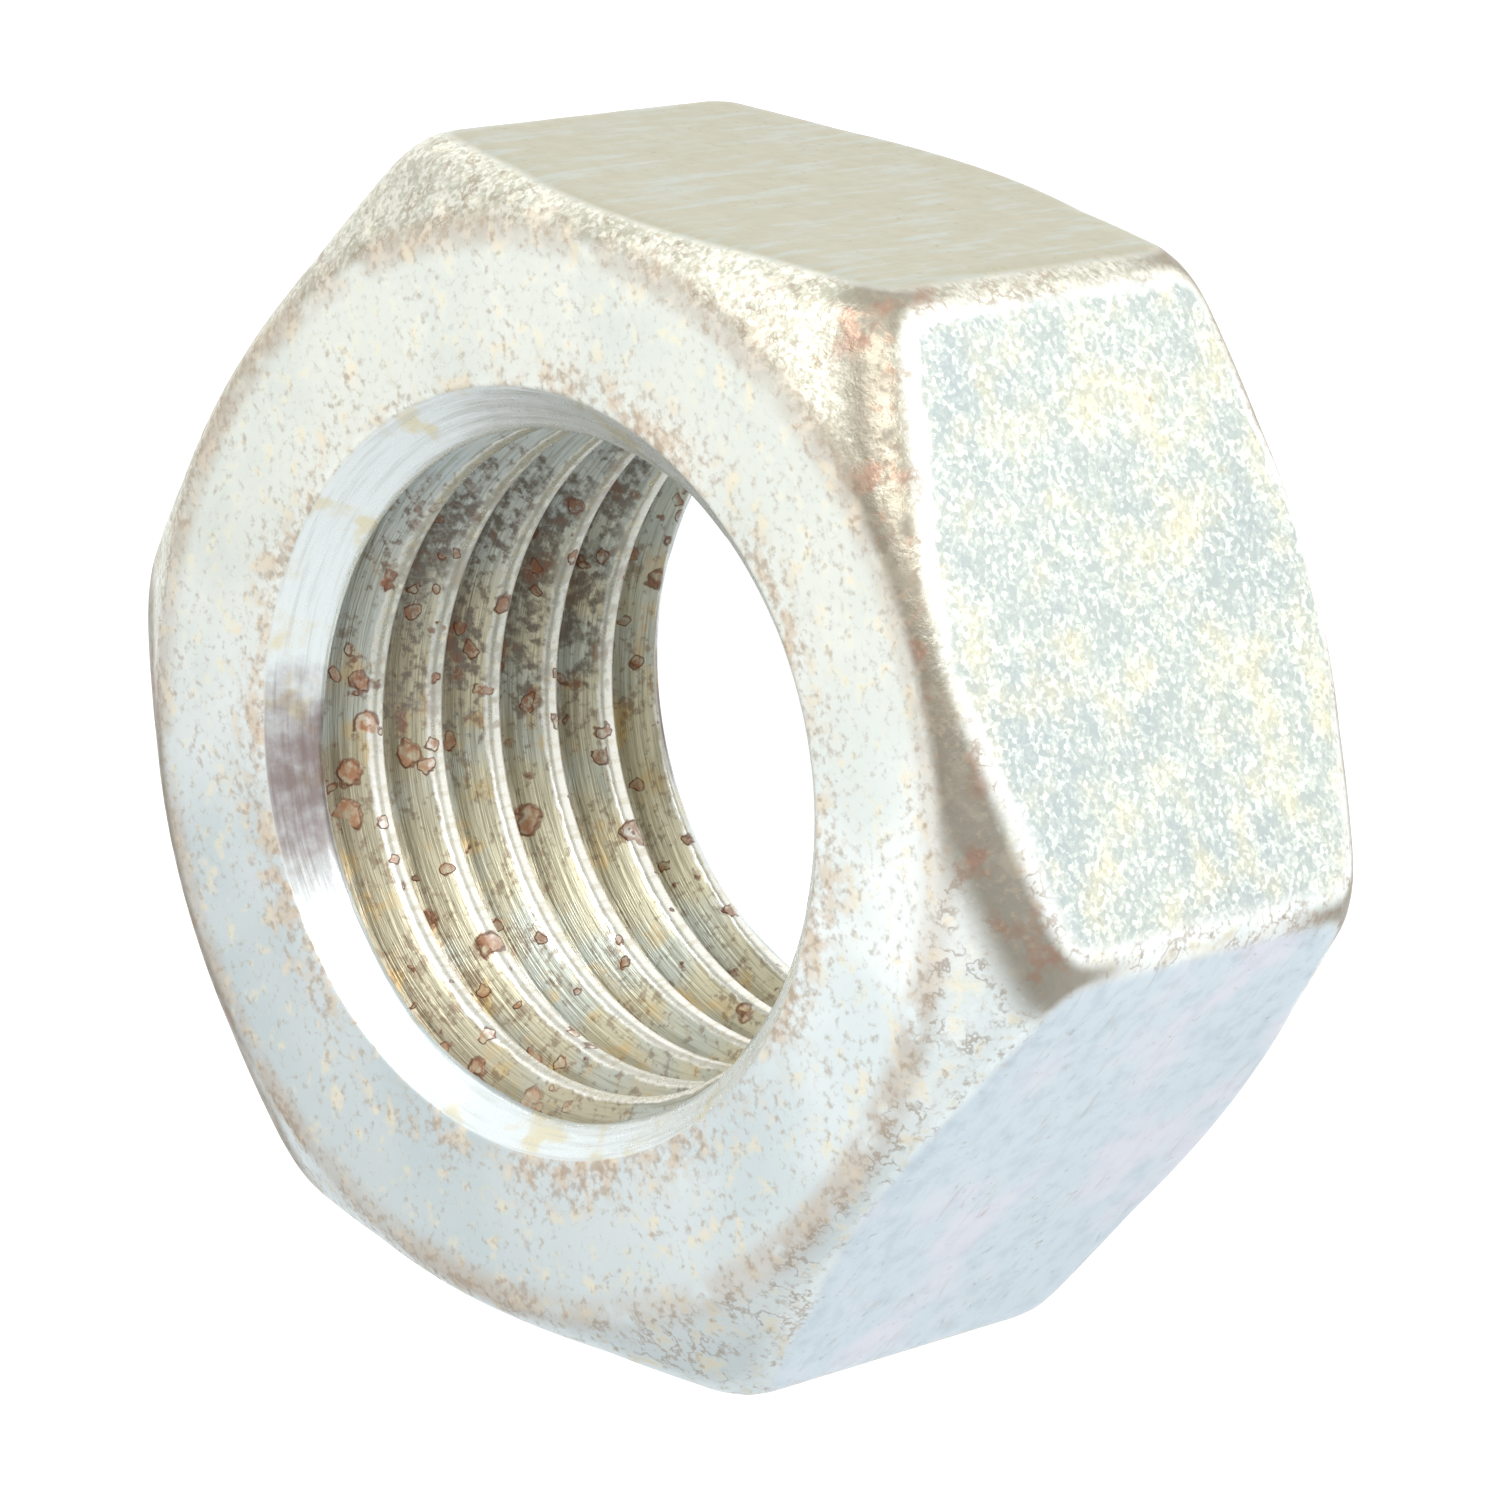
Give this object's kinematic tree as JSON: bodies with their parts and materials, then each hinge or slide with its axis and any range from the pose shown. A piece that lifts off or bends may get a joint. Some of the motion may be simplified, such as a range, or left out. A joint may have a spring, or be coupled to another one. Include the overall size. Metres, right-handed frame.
{
  "type": "hex nut",
  "caption": "Plain hexagon nut with a right-hand coarse metric thread, countersunk at both ends and chamfered on both bearing faces.",
  "frame": {"origin": "centre of the lower bearing face", "axes": "+Z along the thread axis, +X through one corner of the hexagon, so +Y is square to one pair of flats"},
  "size_m": [0.0617, 0.0546, 0.0276],
  "materials": {
    "zinc_plated_steel": "zinc plated, satin, aged, with brown grime and a few rust spots"
  },
  "bodies": {
    "root": {"hex_nut": "zinc_plated_steel"}
  },
  "joints": []
}
